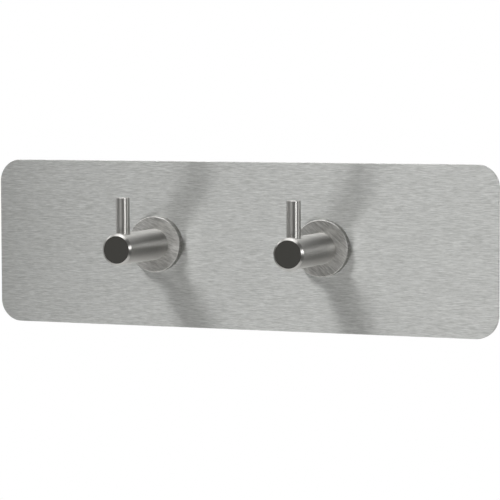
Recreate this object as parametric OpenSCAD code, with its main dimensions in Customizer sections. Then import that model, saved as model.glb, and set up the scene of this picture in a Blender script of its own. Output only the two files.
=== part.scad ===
// Wall hook rack: a flat steel plate that carries two peg hooks side by side.
//
// The row frame has its origin at the centre of the plate's back face, which lies on the wall.
// +X runs along the plate to the right, +Z is up, and -Y points away from the wall to the user.
// Every piece is drawn lying down first: X right, Y up the wall and Z out from the wall.
// The module on_wall() then stands it up.

/* [Plate] */
// Length of the plate, left to right
plate_w = 320; // [220:5:600]
// Height of the plate
plate_h = 100; // [70:5:200]
// Thickness of the plate's sheet
plate_t = 2; // [1.5:0.5:4]
// Radius of the plate's corners
corner_r = 13.5; // [4:0.5:30]
// Chamfer along the plate's front edge, where it was deburred
edge_chamfer = 0.3; // [0.1:0.1:0.6]

/* [Hooks] */
// Distance between the centres of the two hooks
hook_spacing = 107; // [70:1:160]

/* [Rosette] */
// Diameter of the round cover at a hook's foot
rosette_d = 33.6; // [32:0.2:46]
// How far the rosette stands out from the plate
rosette_t = 5; // [4.8:0.2:8]
// Thickness of the rosette's front wall
rosette_face = 1.2; // [1:0.1:1.6]
// Thickness of the rosette's side wall
rosette_wall = 2.4; // [1.8:0.1:3]
// Radius that rounds the rosette's front edge
rosette_round = 0.5; // [0.3:0.1:1]

/* [Post] */
// Diameter of the round post
post_d = 18.5; // [15:0.5:26]
// Length of the post, from the rosette's face to the tip
post_reach = 52; // [36:1:90]
// Chamfer round the post's tip
post_chamfer = 1.2; // [0.4:0.2:2]

/* [Upright pin] */
// Diameter of the upright pin
pin_d = 8; // [5:0.5:10]
// Distance from the post's tip back to the pin's axis
pin_setback = 9; // [7:0.5:14]
// Height of the pin's top above the top of the post
pin_above = 21; // [10:1:40]
// Depth that the pin is pressed into the post
pin_seat = 10; // [6:0.5:12]
// Chamfer at each end of the pin
pin_chamfer = 0.5; // [0.2:0.1:1]

/* [Post screw] */
// Thread diameter of the button head screw that holds the post
post_screw_d = 5; // [4:1:6]
// Length of that screw under its head
post_screw_l = 16; // [10:1:20]
// Diameter of its head
post_screw_head_d = 9.5; // [8:0.5:10]
// Height of its head
post_screw_head_h = 2.7; // [2:0.1:3]
// Width across the flats of its hexagon socket
post_screw_key = 3; // [2:0.5:4]
// Thread left over past the end of the screw in the post
tap_runout = 1.5; // [0.5:0.5:4]

/* [Locating pin] */
// Diameter of the small dowel that stops the post from turning
locating_pin_d = 2; // [1.5:0.5:2.5]
// Length of that dowel
locating_pin_l = 5; // [4:0.5:8]

/* [Mounting disc] */
// Diameter of the holes that the wall screws pass through
wall_hole_d = 4.2; // [3.5:0.1:4.5]
// Diameter of the countersinks for the wall screws' heads
wall_hole_sink_d = 7.8; // [7:0.1:8.2]
// Room round the post screw's head in the disc's central hole
head_room = 0.45; // [0.3:0.05:1]

/* [Grub screw] */
// Thread diameter of the grub screw that locks the rosette on its disc
grub_d = 3; // [2.5:0.5:3]
// Diameter of the grub screw's dog point
grub_point_d = 2; // [1.5:0.5:2]
// Length of the grub screw's dog point
grub_point_l = 1.5; // [1:0.1:2]
// Width across the flats of the grub screw's hexagon socket
grub_key = 1.5; // [1.3:0.1:1.5]
// Distance of the grub screw's axis from the plate's front
grub_out = 2; // [1.8:0.1:2.2]
// How deep the grub screw's outer end sits below the rosette's side
grub_recess = 0.15; // [0.1:0.05:0.5]

/* [Fits] */
// Radial clearance of a pressed pin in its bore
press_fit = 0.02; // [0.01:0.01:0.05]
// Radial clearance of a screw's thread in its tapped hole
thread_fit = 0.04; // [0.02:0.01:0.1]
// Radial clearance of a screw or dog point in a plain hole
hole_fit = 0.15; // [0.1:0.05:0.3]
// Radial gap between the mounting disc and the rosette's side wall
disc_side_gap = 0.3; // [0.2:0.1:0.5]
// Gap between the mounting disc and the rosette's front wall
disc_front_gap = 0.4; // [0.2:0.1:0.6]
// Gap between the grub screw's body and the mounting disc
grub_end_gap = 0.05; // [0.05:0.05:0.2]

/* [Hidden] */
$fn = 96;

// Colours of the finishes
brushed_sheet = [0.69, 0.69, 0.68];
satin_bar = [0.62, 0.61, 0.59];
plain_steel = [0.55, 0.55, 0.56];
black_oxide = [0.17, 0.17, 0.18];

// Distances out from the wall
rosette_foot = plate_t;
rosette_front = rosette_foot + rosette_t;
rosette_inside = rosette_front - rosette_face;
post_tip = rosette_front + post_reach;
pin_axis = post_tip - pin_setback;
grub_axis = rosette_foot + grub_out;

// Radii, and distances from a hook's axis
rosette_r = rosette_d / 2;
rosette_inner_r = rosette_r - rosette_wall;
post_r = post_d / 2;
pin_r = pin_d / 2;
head_r = post_screw_head_d / 2;
head_hole_r = head_r + head_room;
disc_r = rosette_inner_r - disc_side_gap;
wall_hole_x = (head_hole_r + disc_r) / 2;
locating_pin_y = -(head_r + post_r) / 2;
grub_outer_r = rosette_r - grub_recess;
grub_shoulder_r = disc_r + grub_end_gap;
grub_tip_r = grub_shoulder_r - grub_point_l;

disc_t = rosette_t - rosette_face - disc_front_gap;
small_chamfer = 0.3;        // on the mounting disc's front edge and the dowel's end
screw_chamfer = 0.6;        // on the post screw's tip
sink_depth = (wall_hole_sink_d - wall_hole_d) / 2;
tap_depth = post_screw_l - rosette_face + tap_runout;
drill_point = 0.6;          // depth of a drill's cone, as a share of the hole's radius
socket_share = 0.6;         // depth of a head's socket, as a share of the head's height
round_step = 15;            // degrees between the points of a rounded edge
cut = 1;                    // how far a cutting solid runs past the face that it opens

// Standing a piece up, and putting it at one of the hooks
module on_wall() { rotate([90, 0, 0]) children(); }
module at_hook(side) { on_wall() translate([side * hook_spacing / 2, 0, 0]) children(); }
module left() { at_hook(-1) children(); }
module right() { at_hook(1) children(); }
module upwards() { rotate([-90, 0, 0]) children(); }
module downwards() { rotate([90, 0, 0]) children(); }

// A round bar with a chamfer at its far end, and one at its near end if asked for
module round_bar(r, l, far, near = 0) {
    rotate_extrude()
        polygon([[0, 0], [r - near, 0], [r, near], [r, l - far], [r - far, l], [0, l]]);
}

// A hole that starts at z = 0, drilled upwards to a depth, with the drill's cone at its end
module drilled_hole(r, depth) {
    translate([0, 0, -cut]) cylinder(r = r, h = depth + cut);
    translate([0, 0, depth]) cylinder(r1 = r, r2 = 0, h = r * drill_point);
}

// Section of a flat bar whose two front edges are chamfered
module sheet_section(w) {
    polygon([[-w / 2, 0], [w / 2, 0], [w / 2, plate_t - edge_chamfer],
             [w / 2 - edge_chamfer, plate_t], [edge_chamfer - w / 2, plate_t],
             [-w / 2, plate_t - edge_chamfer]]);
}

// The two holes for wall screws at one hook
module wall_holes(depth) {
    for (side = [-1, 1])
        translate([side * wall_hole_x, 0, -cut]) cylinder(d = wall_hole_d, h = depth + 2 * cut);
}

// The plate: a sheet with round corners and four holes that the rosettes hide
module back_plate() {
    inner_w = plate_w - 2 * corner_r;
    inner_h = plate_h - 2 * corner_r;
    color(brushed_sheet) on_wall() difference() {
        union() {
            for (x = [-1, 1], y = [-1, 1])
                translate([x * inner_w / 2, y * inner_h / 2, 0])
                    round_bar(corner_r, plate_t, edge_chamfer);
            translate([-inner_w / 2, 0, 0]) rotate([90, 0, 90])
                linear_extrude(inner_w) sheet_section(plate_h);
            translate([0, inner_h / 2, 0]) rotate([90, 0, 0])
                linear_extrude(inner_h) sheet_section(plate_w);
        }
        for (side = [-1, 1])
            translate([side * hook_spacing / 2, 0, 0]) wall_holes(plate_t);
    }
}

// The disc that is screwed to the wall through the plate, and that the rosette locks onto
module mounting_disc() {
    color(plain_steel) translate([0, 0, rosette_foot]) difference() {
        round_bar(disc_r, disc_t, small_chamfer);
        translate([0, 0, -cut]) cylinder(r = head_hole_r, h = disc_t + 2 * cut);
        wall_holes(disc_t);
        for (side = [-1, 1])
            translate([side * wall_hole_x, 0, disc_t - sink_depth])
                cylinder(d1 = wall_hole_d, d2 = wall_hole_sink_d, h = sink_depth);
        translate([0, -disc_r - cut, grub_out]) upwards()
            cylinder(d = grub_point_d + 2 * hole_fit, h = disc_r - grub_tip_r + hole_fit + cut);
    }
}

// The round cover at the foot of the post: a shallow cup, open towards the plate
module rosette() {
    rim = [for (a = [0 : round_step : 90])
        [rosette_r - rosette_round * (1 - cos(a)), rosette_t - rosette_round * (1 - sin(a))]];
    color(satin_bar) translate([0, 0, rosette_foot]) difference() {
        rotate_extrude()
            polygon(concat([[rosette_inner_r, 0], [rosette_r, 0]], rim,
                           [[0, rosette_t], [0, rosette_t - rosette_face],
                            [rosette_inner_r, rosette_t - rosette_face]]));
        translate([0, 0, rosette_t - rosette_face - cut])
            cylinder(d = post_screw_d + 2 * hole_fit, h = rosette_face + 2 * cut);
        translate([0, locating_pin_y, rosette_t - rosette_face - cut])
            cylinder(r = locating_pin_d / 2 + press_fit, h = rosette_face + 2 * cut);
        translate([0, -rosette_r - cut, grub_out]) upwards()
            cylinder(r = grub_d / 2 + thread_fit, h = rosette_wall + 2 * cut);
    }
}

// The post: solid bar, tapped at the back and cross-drilled for the upright pin
module post() {
    color(satin_bar) translate([0, 0, rosette_front]) difference() {
        round_bar(post_r, post_reach, post_chamfer);
        drilled_hole(post_screw_d / 2 + thread_fit, tap_depth);
        translate([0, locating_pin_y, 0])
            drilled_hole(locating_pin_d / 2 + press_fit, locating_pin_l - rosette_face);
        translate([0, post_r - pin_seat, post_reach - pin_setback]) upwards()
            cylinder(r = pin_r + press_fit, h = pin_seat + cut);
    }
}

// The pin that stands up near the post's tip and keeps a loop from sliding off
module upright_pin() {
    color(satin_bar) translate([0, post_r - pin_seat, pin_axis]) upwards()
        round_bar(pin_r, pin_seat + pin_above, pin_chamfer, pin_chamfer);
}

// The button head screw that draws the post onto the rosette from inside
module post_screw() {
    dome_end = 60;
    dome = [for (a = [0 : round_step : dome_end])
        [head_r * cos(a), -post_screw_head_h * sin(a) / sin(dome_end)]];
    socket_depth = post_screw_head_h * socket_share;
    color(black_oxide) translate([0, 0, rosette_inside]) {
        difference() {
            union() {
                rotate_extrude() polygon(concat([[0, 0]], dome, [[0, -post_screw_head_h]]));
                round_bar(post_screw_d / 2, post_screw_l, screw_chamfer);
            }
            translate([0, 0, -post_screw_head_h - cut])
                cylinder(d = post_screw_key / cos(30), h = socket_depth + cut, $fn = 6);
        }
    }
}

// The dowel that keeps the post, and so the pin, from turning on the rosette
module locating_pin() {
    color(plain_steel) translate([0, locating_pin_y, rosette_inside])
        round_bar(locating_pin_d / 2, locating_pin_l, small_chamfer);
}

// The grub screw in the rosette's underside, whose dog point enters the mounting disc
module grub_screw() {
    body_l = grub_outer_r - grub_shoulder_r;
    color(black_oxide) translate([0, -grub_outer_r, grub_axis]) upwards() difference() {
        union() {
            cylinder(d = grub_d, h = body_l);
            cylinder(d = grub_point_d, h = body_l + grub_point_l);
        }
        translate([0, 0, -cut])
            cylinder(d = grub_key / cos(30), h = body_l * socket_share + cut, $fn = 6);
    }
}

back_plate();

left() mounting_disc();  // left_mounting_disc
left() rosette();  // left_rosette
left() post();  // left_post
left() upright_pin();  // left_upright_pin
left() post_screw();  // left_post_screw
left() locating_pin();  // left_locating_pin
left() grub_screw();  // left_grub_screw

right() mounting_disc();  // right_mounting_disc
right() rosette();  // right_rosette
right() post();  // right_post
right() upright_pin();  // right_upright_pin
right() post_screw();  // right_post_screw
right() locating_pin();  // right_locating_pin
right() grub_screw();  // right_grub_screw
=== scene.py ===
import math

import bmesh
import bpy
from mathutils import Euler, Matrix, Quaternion, Vector


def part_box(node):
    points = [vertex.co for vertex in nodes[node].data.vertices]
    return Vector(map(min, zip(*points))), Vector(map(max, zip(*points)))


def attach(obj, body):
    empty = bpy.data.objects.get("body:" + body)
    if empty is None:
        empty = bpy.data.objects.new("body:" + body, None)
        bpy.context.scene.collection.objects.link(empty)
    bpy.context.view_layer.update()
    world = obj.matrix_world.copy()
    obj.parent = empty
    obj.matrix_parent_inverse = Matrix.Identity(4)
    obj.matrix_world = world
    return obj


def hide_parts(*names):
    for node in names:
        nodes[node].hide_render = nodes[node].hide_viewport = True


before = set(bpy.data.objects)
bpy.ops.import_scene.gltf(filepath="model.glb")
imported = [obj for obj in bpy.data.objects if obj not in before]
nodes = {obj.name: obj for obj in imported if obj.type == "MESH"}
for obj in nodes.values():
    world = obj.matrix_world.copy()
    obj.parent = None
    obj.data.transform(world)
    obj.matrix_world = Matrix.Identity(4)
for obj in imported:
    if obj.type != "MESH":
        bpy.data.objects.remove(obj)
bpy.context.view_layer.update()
mm = 0.001
nearly = 0.01 * mm   # how close to an end a point counts as on it
print("frame loaded:", len(nodes), "nodes")


cameraSet = {
    "target": (6.2 * mm, 0, -2.4 * mm),
    "azimuth": 22.37,
    "elevation": 3.96,
    "roll": -0.11,
    "distance": 1.3733,
    "lens": 166.3,
}


def direction(azimuth, elevation):
    # azimuth 0 is straight in front of the plate, and grows to the right
    a, e = math.radians(azimuth), math.radians(elevation)
    return Vector((math.sin(a) * math.cos(e), -math.cos(a) * math.cos(e), math.sin(e)))


def makeCamera(s):
    data = bpy.data.cameras.new("camera")
    data.lens = s["lens"]
    data.sensor_width = 36
    camera = bpy.data.objects.new("camera", data)
    bpy.context.scene.collection.objects.link(camera)
    back = direction(s["azimuth"], s["elevation"])
    turn = (-back).to_track_quat("-Z", "Y") @ Quaternion((0, 0, 1), math.radians(s["roll"]))
    camera.location = Vector(s["target"]) + back * s["distance"]
    camera.rotation_mode = "QUATERNION"
    camera.rotation_quaternion = turn
    bpy.context.scene.camera = camera


makeCamera(cameraSet)
print("camera placed")


def toLinear(hexColour):
    # sRGB hex to the linear numbers that the shaders work in
    out = []
    for i in (1, 3, 5):
        c = int(hexColour[i:i + 2], 16) / 255
        out.append(c / 12.92 if c <= 0.04045 else ((c + 0.055) / 1.055) ** 2.4)
    return (*out, 1.0)


def addNode(tree, kind, settings=None, inputs=None, links=None):
    # adds one node, sets its properties and sockets, and links other nodes' outputs to it
    node = tree.nodes.new(kind)
    for name, value in (settings or {}).items():
        setattr(node, name, value)
    for name, value in (inputs or {}).items():
        node.inputs[name].default_value = value
    for name, source in (links or {}).items():
        tree.links.new(source, node.inputs[name])
    return node


def activate(obj):
    bpy.ops.object.select_all(action="DESELECT")
    obj.select_set(True)
    bpy.context.view_layer.objects.active = obj


def pickEdges(obj, test):
    # in edit mode: selects the edges whose two ends both pass the test
    shape = bmesh.from_edit_mesh(obj.data)
    bpy.ops.mesh.select_mode(type="EDGE")
    bpy.ops.mesh.select_all(action="DESELECT")
    for edge in shape.edges:
        edge.select = all(test(v.co) for v in edge.verts)
    shape.select_flush_mode()
    bmesh.update_edit_mesh(obj.data)


def pickFaces(obj, test):
    # in edit mode: selects the faces whose centre and normal pass the test
    shape = bmesh.from_edit_mesh(obj.data)
    bpy.ops.mesh.select_mode(type="FACE")
    bpy.ops.mesh.select_all(action="DESELECT")
    for face in shape.faces:
        face.select = test(face.calc_center_median(), face.normal)
    shape.select_flush_mode()
    bmesh.update_edit_mesh(obj.data)


def bar(name, radius, start, end, sides):
    # a round bar between two points on one axis, with its place in its mesh
    start, end = Vector(start), Vector(end)
    along = end - start
    bpy.ops.object.select_all(action="DESELECT")
    bpy.ops.mesh.primitive_cylinder_add(
        vertices=sides, radius=radius, depth=along.length, location=(start + end) / 2,
        rotation=along.to_track_quat("Z", "Y").to_euler())
    obj = bpy.context.active_object
    obj.name = name
    bpy.ops.object.transform_apply(location=True, rotation=True, scale=True)
    return obj


def cutWith(obj, cutters):
    # drills each cutter out of the piece, one after another
    for cutter in cutters:
        activate(obj)
        change = obj.modifiers.new("cut", "BOOLEAN")
        change.operation = "DIFFERENCE"
        change.solver = "EXACT"
        change.object = cutter
        bpy.ops.object.modifier_apply(modifier=change.name)
        bpy.data.objects.remove(cutter)


def finishPiece(obj, material, replaced):
    # smooth shading with crisp corners, then the piece takes over from its CAD node
    activate(obj)
    bpy.ops.object.shade_smooth_by_angle(angle=math.radians(32))
    weights = obj.modifiers.new("weights", "WEIGHTED_NORMAL")
    weights.keep_sharp = True
    bpy.ops.object.modifier_apply(modifier=weights.name)
    obj.data.materials.clear()
    obj.data.materials.append(material)
    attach(obj, "root")
    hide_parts(replaced)


def toneRamp(tree, pattern, dark, light, width):
    # turns a pattern into two close tones of one metal
    tone = addNode(tree, "ShaderNodeValToRGB", None, None, {"Fac": pattern.outputs["Fac"]})
    ends = tone.color_ramp.elements
    ends[0].position, ends[1].position = 0.5 - width / 2, 0.5 + width / 2
    ends[0].color, ends[1].color = toLinear(dark), toLinear(light)
    return tone


def newMaterial(name):
    material = bpy.data.materials.new(name)
    material.use_nodes = True
    tree = material.node_tree
    tree.nodes.clear()
    out = addNode(tree, "ShaderNodeOutputMaterial")
    return material, tree, out


# 304 stainless sheet, belt brushed along its length: pale grey, with soft bands and level streaks
sheetFinish = {
    "colour": "#D6D7D5",
    "streakDark": "#A3A4A2",
    "roughness": 0.36,
    "anisotropy": 1.0,
    "streakLength": 4.5 * mm,   # real scratches are finer, drawn this coarse to show at all
    "streakWidth": 0.3 * mm,
    "streakDepth": 0.03 * mm,
}

# 304 stainless bar, ground round its girth: long highlights that run with the bar
postFinish = {
    "colour": "#C2C1BE",
    "streakDark": "#B3B2AF",
    "roughness": 0.38,
    "anisotropy": 0.86,
    "streakLength": 6.0 * mm,
    "streakWidth": 0.3 * mm,
    "streakDepth": 0.004 * mm,
}

# the same bar in a smaller size, ground finer: narrower, harder highlights
pinFinish = {
    "colour": "#C2C1BE",
    "streakDark": "#B3B2AF",
    "roughness": 0.37,
    "anisotropy": 0.78,
    "streakLength": 6.0 * mm,
    "streakWidth": 0.3 * mm,
    "streakDepth": 0.004 * mm,
}

# thin stainless cover, brushed by hand: duller and more even, with slanting streaks
coverFinish = {
    "colour": "#E0DFDC",
    "streakDark": "#A8A7A4",
    "roughness": 0.5,
    "anisotropy": 0.5,
    "streakLength": 5.0 * mm,
    "streakWidth": 0.8 * mm,
    "streakDepth": 0.02 * mm,
    "leftAngle": -22,
    "rightAngle": -40,
}


def brushedSteel(name, s, turn):
    # stainless steel with fine scratches all one way: it smears what it reflects across them
    material, tree, out = newMaterial(name)
    turn = Euler([math.radians(a) for a in turn])
    smear = turn.to_matrix().inverted() @ Vector((0, 0, 1))
    place = addNode(tree, "ShaderNodeTexCoord")
    turned = addNode(tree, "ShaderNodeMapping", None, {"Rotation": turn},
                     {"Vector": place.outputs["Object"]})
    stretched = addNode(tree, "ShaderNodeMapping", None,
                        {"Scale": (1 / s["streakLength"], 1 / s["streakLength"], 1 / s["streakWidth"])},
                        {"Vector": turned.outputs["Vector"]})
    streak = addNode(tree, "ShaderNodeTexNoise", None, {"Scale": 1.0, "Detail": 4.0, "Roughness": 0.65},
                     {"Vector": stretched.outputs["Vector"]})
    tone = toneRamp(tree, streak, s["streakDark"], s["colour"], 0.4)
    bump = addNode(tree, "ShaderNodeBump", None, {"Strength": 0.25, "Distance": s["streakDepth"]},
                   {"Height": streak.outputs["Fac"]})
    across = addNode(tree, "ShaderNodeCombineXYZ", None, {"X": smear.x, "Y": smear.y, "Z": smear.z})
    metal = addNode(tree, "ShaderNodeBsdfPrincipled", None,
                    {"Metallic": 1.0, "Roughness": s["roughness"], "Anisotropic": s["anisotropy"]},
                    {"Base Color": tone.outputs["Color"], "Normal": bump.outputs["Normal"],
                     "Tangent": across.outputs["Vector"]})
    tree.links.new(metal.outputs["BSDF"], out.inputs["Surface"])
    return material


# a lathe-faced bar end is nearly a mirror, turned mild steel is dull, and black oxide is near black
faceFinish = {"colour": "#C6C4C0", "dark": "#B6B4B0", "roughness": 0.12, "grain": 0.5 * mm}
discFinish = {"colour": "#A9A9AB", "dark": "#97979A", "roughness": 0.4, "grain": 0.3 * mm}
screwFinish = {"colour": "#3E3E40", "dark": "#313133", "roughness": 0.45, "grain": 0.2 * mm}


def grainedSteel(name, s):
    # steel with no brushing: an even shine, with a faint cloudy grain
    material, tree, out = newMaterial(name)
    place = addNode(tree, "ShaderNodeTexCoord")
    grain = addNode(tree, "ShaderNodeTexNoise", None, {"Scale": 1 / s["grain"], "Detail": 2.0},
                    {"Vector": place.outputs["Object"]})
    tone = toneRamp(tree, grain, s["dark"], s["colour"], 0.3)
    metal = addNode(tree, "ShaderNodeBsdfPrincipled", None, {"Metallic": 1.0, "Roughness": s["roughness"]},
                    {"Base Color": tone.outputs["Color"]})
    tree.links.new(metal.outputs["BSDF"], out.inputs["Surface"])
    return material


sheetSteel = brushedSteel("belt brushed stainless sheet", sheetFinish, (0, 0, 0))
pinSteel = brushedSteel("ground stainless bar, upright", pinFinish, (0, 0, 0))
postSteel = brushedSteel("ground stainless bar, level", postFinish, (90, 0, 0))
coverSteel = {side: brushedSteel("brushed stainless cover, " + side, coverFinish,
                                 (0, coverFinish[side + "Angle"], 0)) for side in ("left", "right")}
faceSteel = grainedSteel("faced stainless bar end", faceFinish)
discSteel = grainedSteel("plain turned steel", discFinish)
screwSteel = grainedSteel("black oxide screw steel", screwFinish)
print("materials made")


plateSet = {
    "cornerRadius": 13.5 * mm,
    "cornerSteps": 28,
    "frontEdge": 0.3 * mm,
    "backEdge": 0.1 * mm,
    "holeRadius": 2.1 * mm,
    "holeOffset": 9.65 * mm,
}


def makePlate(s):
    low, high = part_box("back_plate")
    bpy.ops.object.select_all(action="DESELECT")
    bpy.ops.mesh.primitive_cube_add(size=1, location=(low + high) / 2, scale=high - low)
    plate = bpy.context.active_object
    plate.name = "brushed_plate"
    bpy.ops.object.transform_apply(location=True, rotation=True, scale=True)
    bpy.ops.object.mode_set(mode="EDIT")
    shape = bmesh.from_edit_mesh(plate.data)
    bpy.ops.mesh.select_mode(type="EDGE")
    bpy.ops.mesh.select_all(action="DESELECT")
    for edge in shape.edges:
        a, b = (v.co for v in edge.verts)
        edge.select = abs(a.y - b.y) > 0.5 * (high.y - low.y)
    bpy.ops.mesh.bevel(offset=s["cornerRadius"], segments=s["cornerSteps"], affect="EDGES")
    pickEdges(plate, lambda p: p.y < low.y + nearly)
    bpy.ops.mesh.bevel(offset=s["frontEdge"], segments=3, affect="EDGES")
    pickEdges(plate, lambda p: p.y > high.y - nearly)
    bpy.ops.mesh.bevel(offset=s["backEdge"], segments=1, affect="EDGES")
    bpy.ops.object.mode_set(mode="OBJECT")
    drills = []
    for side in ("left", "right"):
        centre = sum(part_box(side + "_post"), Vector()) / 2
        for step in (-1, 1):
            x = centre.x + step * s["holeOffset"]
            drills.append(bar("drill", s["holeRadius"], (x, low.y - mm, 0), (x, high.y + mm, 0), 48))
    cutWith(plate, drills)
    finishPiece(plate, sheetSteel, "back_plate")


makePlate(plateSet)
print("plate made")


postSet = {
    "chamfer": 1.2 * mm,
    "boreClearance": 0.02 * mm,
    "tapRadius": 2.54 * mm,
    "tapRunout": 1.5 * mm,
    "dowelRadius": 1.02 * mm,
}


def makePost(side, s):
    low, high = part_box(side + "_post")
    pinLow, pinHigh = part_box(side + "_upright_pin")
    centre = (low + high) / 2
    radius = (high.x - low.x) / 2
    post = bar(side + "_turned_post", radius, (centre.x, high.y, 0), (centre.x, low.y, 0), 128)
    bpy.ops.object.mode_set(mode="EDIT")
    pickEdges(post, lambda p: p.y < low.y + nearly)
    bpy.ops.mesh.bevel(offset=s["chamfer"], segments=1, affect="EDGES")
    bpy.ops.object.mode_set(mode="OBJECT")
    pinRadius = (pinHigh.x - pinLow.x) / 2
    pinCentre = (pinLow + pinHigh) / 2
    bore = bar("drill", pinRadius + s["boreClearance"], (pinCentre.x, pinCentre.y, pinLow.z),
               (pinCentre.x, pinCentre.y, pinHigh.z), 64)
    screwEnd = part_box(side + "_post_screw")[0].y
    tap = bar("drill", s["tapRadius"], (centre.x, high.y + mm, 0),
              (centre.x, screwEnd - s["tapRunout"], 0), 32)
    dowelLow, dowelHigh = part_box(side + "_locating_pin")
    dowelPlace = (dowelLow + dowelHigh) / 2
    socket = bar("drill", s["dowelRadius"], (dowelPlace.x, high.y + mm, dowelPlace.z),
                 (dowelPlace.x, dowelLow.y - s["boreClearance"], dowelPlace.z), 32)
    cutWith(post, [bore, tap, socket])
    finishPiece(post, postSteel, side + "_post")
    post.data.materials.append(faceSteel)
    for face in post.data.polygons:
        if face.normal.y < -0.9:
            face.material_index = 1


pinSet = {"chamfer": 0.5 * mm}


def makePin(side, s):
    low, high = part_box(side + "_upright_pin")
    centre = (low + high) / 2
    radius = (high.x - low.x) / 2
    pin = bar(side + "_ground_pin", radius, (centre.x, centre.y, low.z), (centre.x, centre.y, high.z), 96)
    bpy.ops.object.mode_set(mode="EDIT")
    pickEdges(pin, lambda p: p.z > high.z - nearly or p.z < low.z + nearly)
    shape = bmesh.from_edit_mesh(pin.data)
    for edge in shape.edges:
        if abs(edge.verts[0].co.z - edge.verts[1].co.z) > mm:
            edge.select = False
    bpy.ops.mesh.bevel(offset=s["chamfer"], segments=1, affect="EDGES")
    bpy.ops.object.mode_set(mode="OBJECT")
    finishPiece(pin, pinSteel, side + "_upright_pin")
    pin.data.materials.append(faceSteel)
    for face in pin.data.polygons:
        if abs(face.normal.z) > 0.9:
            face.material_index = 1


rosetteSet = {
    "wall": 2.4 * mm,
    "faceThickness": 1.2 * mm,
    "edge": 0.5 * mm,
    "grubRadius": 1.54 * mm,
    "screwRadius": 2.65 * mm,
    "dowelRadius": 1.02 * mm,
}


def makeRosette(side, s):
    low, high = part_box(side + "_rosette")
    centre = (low + high) / 2
    radius = (high.x - low.x) / 2
    cover = bar(side + "_turned_rosette", radius, (centre.x, high.y, 0), (centre.x, low.y, 0), 160)
    bpy.ops.object.mode_set(mode="EDIT")
    pickFaces(cover, lambda c, n: n.y > 0.9)
    bpy.ops.mesh.inset(thickness=s["wall"], depth=0)
    bpy.ops.mesh.extrude_region_move(
        TRANSFORM_OT_translate={"value": (0, -(high.y - low.y - s["faceThickness"]), 0)})
    pickEdges(cover, lambda p: p.y < low.y + nearly)
    bpy.ops.mesh.bevel(offset=s["edge"], segments=4, affect="EDGES")
    bpy.ops.object.mode_set(mode="OBJECT")
    grubPlace = sum(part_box(side + "_grub_screw"), Vector()) / 2
    dowelPlace = sum(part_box(side + "_locating_pin"), Vector()) / 2
    cutWith(cover, [
        bar("drill", s["grubRadius"], (centre.x, grubPlace.y, -radius - mm),
            (centre.x, grubPlace.y, -radius + 2 * s["wall"]), 32),
        bar("drill", s["screwRadius"], (centre.x, low.y - mm, 0), (centre.x, high.y + mm, 0), 48),
        bar("drill", s["dowelRadius"], (dowelPlace.x, low.y - mm, dowelPlace.z),
            (dowelPlace.x, high.y + mm, dowelPlace.z), 32)])
    finishPiece(cover, coverSteel[side], side + "_rosette")


for side in ("left", "right"):
    makePost(side, postSet)
    makePin(side, pinSet)
    makeRosette(side, rosetteSet)
print("hooks made")

for name, node in nodes.items():
    node.data.materials.clear()
    node.data.materials.append(screwSteel if "screw" in name else discSteel)


stageSet = {
    "floorHeight": -1.4,
    "floorSize": 9.0,
    "floorColour": "#E9E8E6",
    "worldLight": 0.6,
    "floorGlow": 0.15,
    "roomTone": "#595957",
    "roomRadius": 2.6,
    "roomAzimuth": (-95, 100),
    "roomElevation": (-62, 62),
}


def makeWorld(s):
    # the camera and mirror-like or clear surfaces see plain white, and the rest gets a softer light
    world = bpy.data.worlds.new("studio")
    world.use_nodes = True
    bpy.context.scene.world = world
    tree = world.node_tree
    tree.nodes.clear()
    out = addNode(tree, "ShaderNodeOutputWorld")
    path = addNode(tree, "ShaderNodeLightPath")
    first = addNode(tree, "ShaderNodeMath", {"operation": "MAXIMUM"}, None,
                    {0: path.outputs["Is Camera Ray"], 1: path.outputs["Is Glossy Ray"]})
    either = addNode(tree, "ShaderNodeMath", {"operation": "MAXIMUM"}, None,
                     {0: first.outputs[0], 1: path.outputs["Is Transmission Ray"]})
    soft = addNode(tree, "ShaderNodeBackground", None, {"Color": (1, 1, 1, 1), "Strength": s["worldLight"]})
    white = addNode(tree, "ShaderNodeBackground", None, {"Color": (1, 1, 1, 1), "Strength": 1.0})
    mixed = addNode(tree, "ShaderNodeMixShader", None, None,
                    {0: either.outputs[0], 1: soft.outputs[0], 2: white.outputs[0]})
    tree.links.new(mixed.outputs[0], out.inputs["Surface"])


def makeFloor(s):
    bpy.ops.object.select_all(action="DESELECT")
    bpy.ops.mesh.primitive_plane_add(size=s["floorSize"], location=(0, 0, s["floorHeight"]))
    floor = bpy.context.active_object
    floor.name = "floor"
    bpy.ops.object.transform_apply(location=True, rotation=True, scale=True)
    material, tree, out = newMaterial("pale studio floor")
    plain = addNode(tree, "ShaderNodeBsdfPrincipled", None,
                    {"Base Color": toLinear(s["floorColour"]), "Roughness": 0.9,
                     "Specular IOR Level": 0.0})
    lift = addNode(tree, "ShaderNodeEmission", None, {"Color": (1, 1, 1, 1), "Strength": s["floorGlow"]})
    both = addNode(tree, "ShaderNodeAddShader", None, None, {0: plain.outputs[0], 1: lift.outputs[0]})
    tree.links.new(both.outputs[0], out.inputs["Surface"])
    floor.data.materials.append(material)


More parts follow.
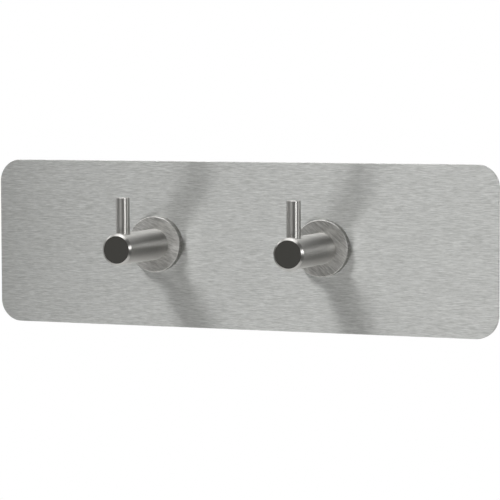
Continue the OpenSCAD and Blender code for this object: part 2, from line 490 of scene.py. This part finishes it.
def makeDarkRoom(s):
    # the unlit end of the studio: only mirror-like surfaces see it
    bpy.ops.object.select_all(action="DESELECT")
    bpy.ops.mesh.primitive_uv_sphere_add(segments=96, ring_count=48, radius=s["roomRadius"],
                                         location=(0, 0, 0))
    room = bpy.context.active_object
    room.name = "dark_room"
    bpy.ops.object.mode_set(mode="EDIT")

    lowAzimuth, highAzimuth = s["roomAzimuth"]
    lowElevation, highElevation = s["roomElevation"]

    def outside(centre, normal):
        azimuth = math.degrees(math.atan2(centre.x, -centre.y))
        elevation = math.degrees(math.asin(centre.z / centre.length))
        return not (lowAzimuth < azimuth < highAzimuth and lowElevation < elevation < highElevation)

    pickFaces(room, outside)
    bpy.ops.mesh.delete(type="FACE")
    bpy.ops.object.mode_set(mode="OBJECT")
    material, tree, out = newMaterial("dark studio wall")
    dim = addNode(tree, "ShaderNodeEmission", None, {"Color": toLinear(s["roomTone"]), "Strength": 1.0})
    tree.links.new(dim.outputs[0], out.inputs["Surface"])
    room.data.materials.append(material)
    room.visible_camera = False
    room.visible_diffuse = False
    room.visible_shadow = False


lampSet = {
    "upper_left": {"azimuth": -28.5, "elevation": 50, "distance": 2.0, "size": (1.3, 0.6), "watts": 18.3},
    "lower_left": {"azimuth": -20.5, "elevation": -32, "distance": 1.2, "size": (0.8, 0.4), "watts": 1.8},
    "right_strip": {"azimuth": 62, "elevation": 10, "distance": 2.0, "size": (0.6, 0.5), "watts": 11},
    "overhead": {"azimuth": 40, "elevation": 80, "distance": 1.8, "size": (1.2, 1.2), "watts": 8},
    "far_left": {"azimuth": -75, "elevation": 30, "distance": 2.2, "size": (1.0, 0.8), "watts": 8},
}


def makeLamp(name, s):
    data = bpy.data.lights.new(name, "AREA")
    data.shape = "RECTANGLE"
    data.size, data.size_y = s["size"]
    data.energy = s["watts"]
    lamp = bpy.data.objects.new(name, data)
    bpy.context.scene.collection.objects.link(lamp)
    away = direction(s["azimuth"], s["elevation"])
    lamp.location = away * s["distance"]
    lamp.rotation_euler = (-away).to_track_quat("-Z", "Y").to_euler()
    lamp.visible_camera = False


bpy.context.scene.view_settings.view_transform = "Standard"
makeWorld(stageSet)
makeFloor(stageSet)
makeDarkRoom(stageSet)
for name, s in lampSet.items():
    makeLamp(name, s)
print("stage and lamps placed")
